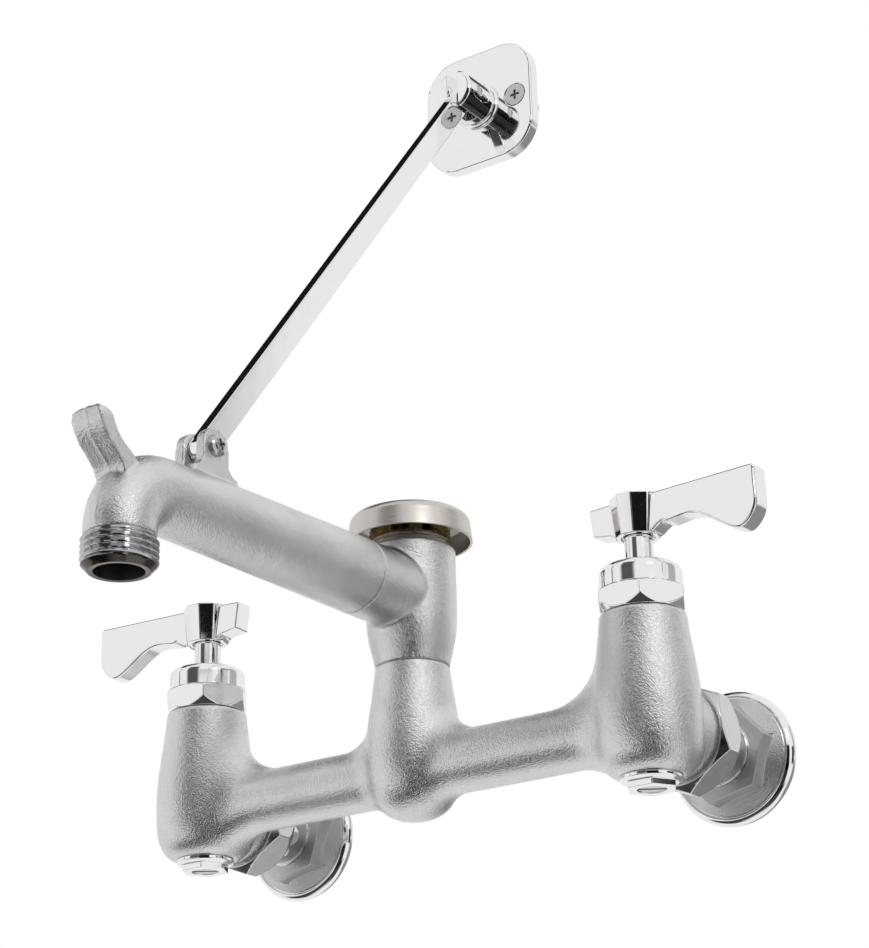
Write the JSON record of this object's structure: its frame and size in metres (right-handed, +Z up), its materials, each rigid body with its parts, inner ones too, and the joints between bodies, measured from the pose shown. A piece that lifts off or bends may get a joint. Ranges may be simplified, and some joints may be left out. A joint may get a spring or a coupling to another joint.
{
  "type": "wall-mount service sink faucet",
  "caption": "Wall-mount service sink faucet with lever valves, vacuum breaker, spout with pail hook and hose thread, and a flat bar brace up to a wall bracket.",
  "frame": {"origin": "on the wall, midway between the two inlets, at the height of their axes", "axes": "+Z up, +Y into the wall, the spout points along -Y, +X to the right seen from the front"},
  "size_m": [0.3082, 0.2602, 0.3616],
  "materials": {
    "cast_chrome": "sand-cast brass with a rough, sparkling chrome plate",
    "polished_chrome": "polished chrome plate",
    "satin_chrome": "satin grey chrome plate on turned brass",
    "brushed_cap": "spun cap, brushed in circles, warm nickel tone",
    "brass": "bare turned brass",
    "stainless_screw": "plain stainless fastener",
    "rubber_seal": "black rubber seal",
    "fibre_seal": "pressed fibre washer",
    "ceramic_disc": "lapped alumina",
    "float_plastic": "moulded acetal",
    "hot_button": "red index button",
    "cold_button": "blue index button"
  },
  "bodies": {
    "faucet": {"valve_body": "cast_chrome", "breaker_body": "cast_chrome", "breaker_gasket": "fibre_seal", "vent_cage": "brass", "hood": "brushed_cap", "hood_screw": "stainless_screw", "spout": "cast_chrome", "spout_gasket": "fibre_seal", "brace_screw": "stainless_screw", "hot_wall_flange": "polished_chrome", "hot_inlet_washer": "fibre_seal", "hot_union_nut": "satin_chrome", "hot_stop_cap": "polished_chrome", "hot_stop_seal": "rubber_seal", "hot_bonnet": "polished_chrome", "hot_cartridge_body": "brass", "hot_fixed_disc": "ceramic_disc", "hot_seat_seal": "rubber_seal", "cold_wall_flange": "polished_chrome", "cold_inlet_washer": "fibre_seal", "cold_union_nut": "satin_chrome", "cold_stop_cap": "polished_chrome", "cold_stop_seal": "rubber_seal", "cold_bonnet": "polished_chrome", "cold_cartridge_body": "brass", "cold_fixed_disc": "ceramic_disc", "cold_seat_seal": "rubber_seal"},
    "hot_lever": {"hot_handle": "polished_chrome", "hot_handle_screw": "stainless_screw", "hot_index_button": "hot_button", "hot_stem": "polished_chrome", "hot_stem_seal": "rubber_seal", "hot_turning_disc": "ceramic_disc"},
    "hot_plunger": {"hot_stop_plunger": "brass", "hot_stop_washer": "rubber_seal"},
    "hot_stop": {"hot_stop_screw": "stainless_screw"},
    "cold_lever": {"cold_handle": "polished_chrome", "cold_handle_screw": "stainless_screw", "cold_index_button": "cold_button", "cold_stem": "polished_chrome", "cold_stem_seal": "rubber_seal", "cold_turning_disc": "ceramic_disc"},
    "cold_plunger": {"cold_stop_plunger": "brass", "cold_stop_washer": "rubber_seal"},
    "cold_stop": {"cold_stop_screw": "stainless_screw"},
    "vent": {"vent_float": "float_plastic", "vent_seal": "rubber_seal"},
    "brace": {"brace_bar": "polished_chrome"},
    "bracket": {"bracket": "polished_chrome", "bracket_pin": "stainless_screw", "wall_screws": "stainless_screw"}
  },
  "joints": [
    {"name": "hot_lever_turn", "type": "hinge", "parent": "faucet", "child": "hot_lever", "pos_m": [-0.1016, -0.0635, 0.07], "axis": [0, 0, 1], "range_deg": [0, 90]},
    {"name": "hot_stop_travel", "type": "slide", "parent": "faucet", "child": "hot_plunger", "axis": [0, 0, 1], "range_m": [0, 0.00327]},
    {"name": "hot_stop_turn", "type": "hinge", "parent": "hot_plunger", "child": "hot_stop", "pos_m": [-0.1016, -0.0635, -0.015], "axis": [0, 0, 1], "range_deg": [0, 1180]},
    {"name": "cold_lever_turn", "type": "hinge", "parent": "faucet", "child": "cold_lever", "pos_m": [0.1016, -0.0635, 0.07], "axis": [0, 0, 1], "range_deg": [-90, 0]},
    {"name": "cold_stop_travel", "type": "slide", "parent": "faucet", "child": "cold_plunger", "axis": [0, 0, 1], "range_m": [0, 0.00327]},
    {"name": "cold_stop_turn", "type": "hinge", "parent": "cold_plunger", "child": "cold_stop", "pos_m": [0.1016, -0.0635, -0.015], "axis": [0, 0, 1], "range_deg": [0, 1180]},
    {"name": "vent_float_lift", "type": "slide", "parent": "faucet", "child": "vent", "axis": [0, 0, 1], "range_m": [0, 0.0069]},
    {"name": "brace_swing", "type": "hinge", "parent": "faucet", "child": "brace", "pos_m": [0, -0.1878, 0.0903], "axis": [1, 0, 0], "range_deg": [-35, 60]},
    {"name": "bracket_tilt", "type": "hinge", "parent": "brace", "child": "bracket", "pos_m": [0, -0.0174, 0.309], "axis": [1, 0, 0], "range_deg": [-35, 35]}
  ],
  "couplings": [
    {"joint": "hot_stop_turn", "follows": "hot_stop_travel", "rad_per_m": 6283.2},
    {"joint": "cold_stop_turn", "follows": "cold_stop_travel", "rad_per_m": 6283.2}
  ]
}
